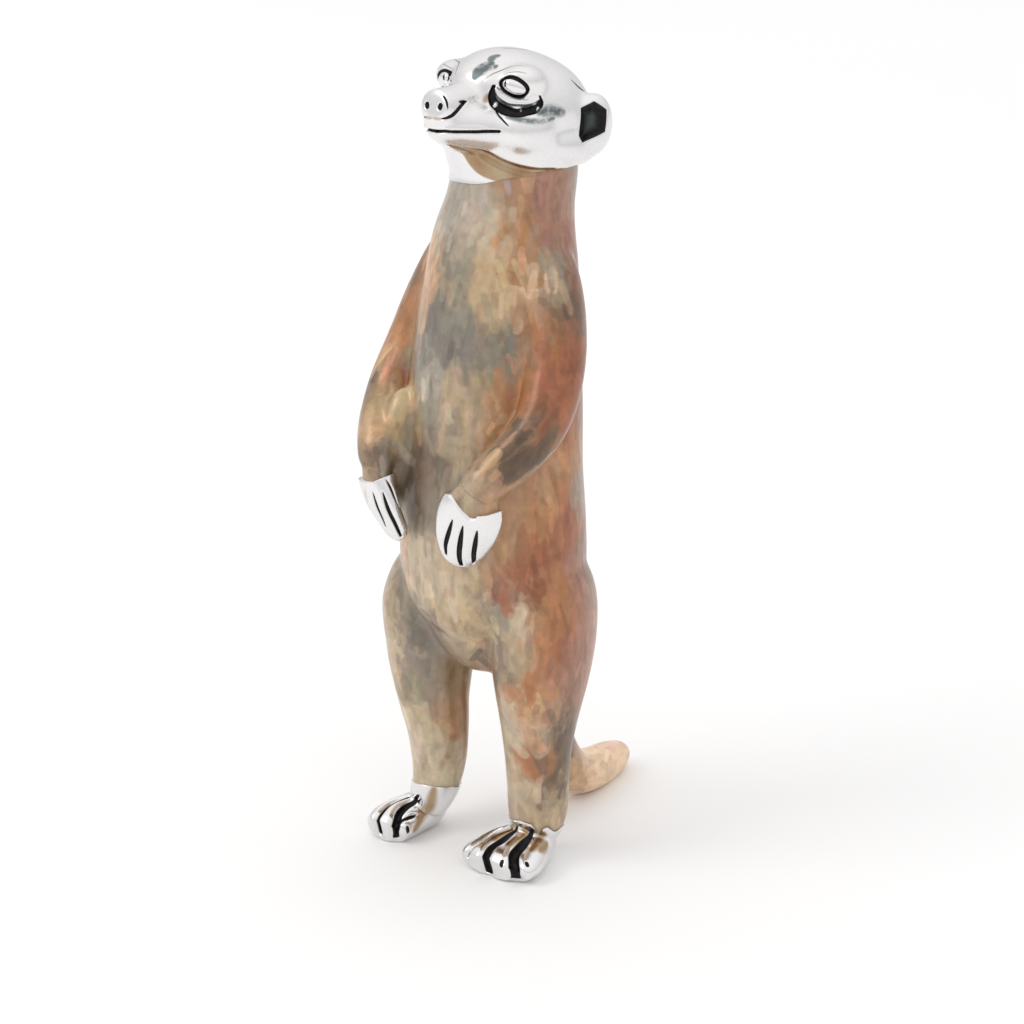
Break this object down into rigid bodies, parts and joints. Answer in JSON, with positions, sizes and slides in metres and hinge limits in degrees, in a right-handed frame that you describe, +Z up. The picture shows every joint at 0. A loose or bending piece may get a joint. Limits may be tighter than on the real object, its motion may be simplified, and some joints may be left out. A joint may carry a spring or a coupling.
{
  "type": "meerkat figurine",
  "caption": "Silver and painted enamel figurine of a meerkat standing upright, paws held before its belly, head turned aside; an ornament for a shelf or desk.",
  "frame": {"origin": "centre of the figurine's overall box, on the floor that its soles and tail rest on", "axes": "+Z up, -Y to the figurine's front, +X to its own left"},
  "size_m": [0.0228, 0.0352, 0.0793],
  "materials": {
    "silver": "polished cast silver, blackened in the engraved lines",
    "silver_eye": "polished silver dome with a blackened pupil mark",
    "enamel_coat": "glossy vitreous enamel, brushed in brown, grey and cream strokes over silver",
    "enamel_tail": "glossy vitreous enamel, pale peach and cream strokes over silver"
  },
  "bodies": {
    "root": {"head": "silver", "ear_left": "silver", "ear_right": "silver", "hand_left": "silver", "hand_right": "silver", "foot_left": "silver", "foot_right": "silver", "eye_left": "silver_eye", "eye_right": "silver_eye", "neck": "enamel_coat", "trunk": "enamel_coat", "upper_arm_left": "enamel_coat", "upper_arm_right": "enamel_coat", "forearm_left": "enamel_coat", "forearm_right": "enamel_coat", "thigh_left": "enamel_coat", "thigh_right": "enamel_coat", "shank_left": "enamel_coat", "shank_right": "enamel_coat", "tail": "enamel_tail"}
  },
  "joints": []
}
